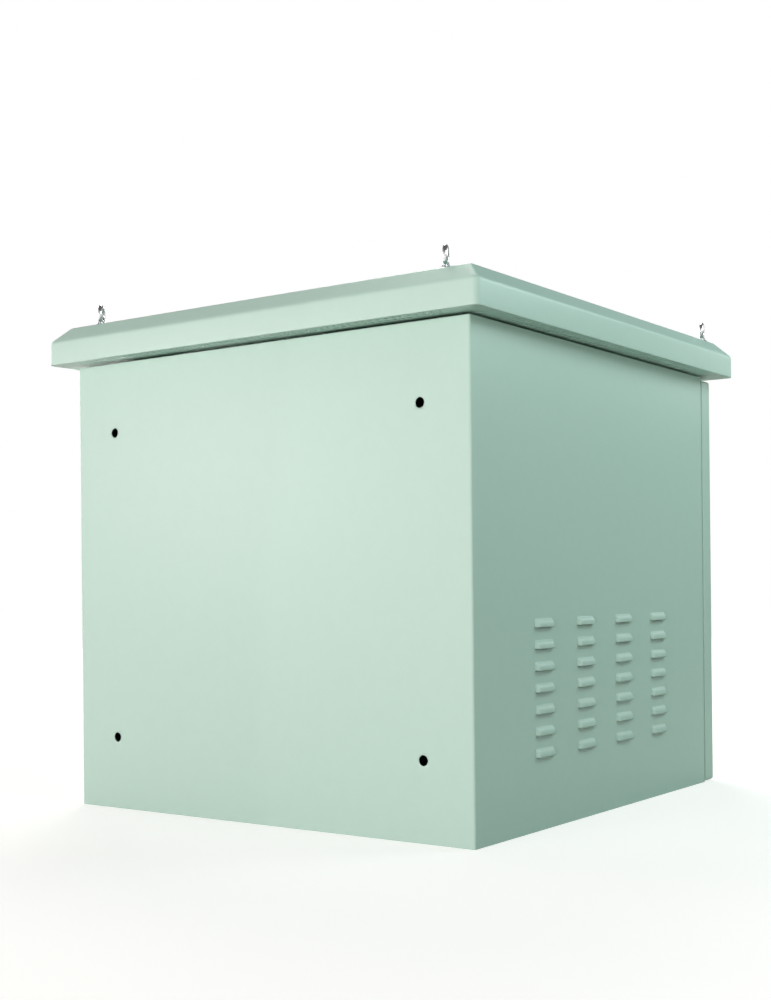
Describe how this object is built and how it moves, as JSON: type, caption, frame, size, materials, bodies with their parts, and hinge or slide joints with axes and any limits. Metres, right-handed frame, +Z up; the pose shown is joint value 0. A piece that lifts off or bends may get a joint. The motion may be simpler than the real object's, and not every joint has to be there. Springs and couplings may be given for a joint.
{
  "type": "wall-mount rack cabinet",
  "caption": "Sheet-metal wall cabinet for rack equipment, with louvred sides, an overhanging vented roof with lifting eyes, and a hinged locking door.",
  "frame": {"origin": "middle of the four wall holes, on the outer face of the back", "axes": "+Y into the wall, +Z up, +X to the right as seen from the door"},
  "size_m": [0.653, 0.6804, 0.6436],
  "materials": {
    "paint": "satin",
    "zinc": "satin",
    "bright_metal": "polished",
    "seal": "matte",
    "filter_foam": "matte"
  },
  "bodies": {
    "cabinet": {"body_shell": "paint", "bottom_panel": "paint", "eye_bolts": "bright_metal", "filter_frame_left": "zinc", "filter_frame_right": "zinc", "filter_mat_left": "filter_foam", "filter_mat_right": "filter_foam", "gland_gasket": "seal", "gland_plate": "zinc", "hinge_lower_frame_half": "paint", "hinge_upper_frame_half": "paint", "lintel": "paint", "rack_rail_left": "zinc", "rack_rail_right": "zinc", "rail_support_lower_left": "zinc", "rail_support_lower_right": "zinc", "rail_support_upper_left": "zinc", "rail_support_upper_right": "zinc", "roof_brackets": "zinc", "roof_hood": "paint", "sill": "paint", "top_panel": "paint", "vent_strip_back": "paint", "vent_strip_front": "paint", "vent_strip_left": "paint", "vent_strip_right": "paint"},
    "door": {"door_panel": "paint", "door_gasket": "seal", "door_stiffener_left": "zinc", "door_stiffener_right": "zinc", "hinge_upper_door_half": "paint", "hinge_lower_door_half": "paint", "lock_housing": "bright_metal", "lock_nut": "zinc"},
    "lock": {"lock_handle": "bright_metal", "lock_cam": "zinc"}
  },
  "joints": [
    {"name": "door_hinge", "type": "hinge", "parent": "cabinet", "child": "door", "pos_m": [0.306, -0.601, 0], "axis": [0, 0, 1], "range_deg": [0, 120]},
    {"name": "lock_turn", "type": "hinge", "parent": "door", "child": "lock", "pos_m": [-0.25, -0.62, -0.002], "axis": [0, 1, 0], "range_deg": [0, 90]}
  ]
}
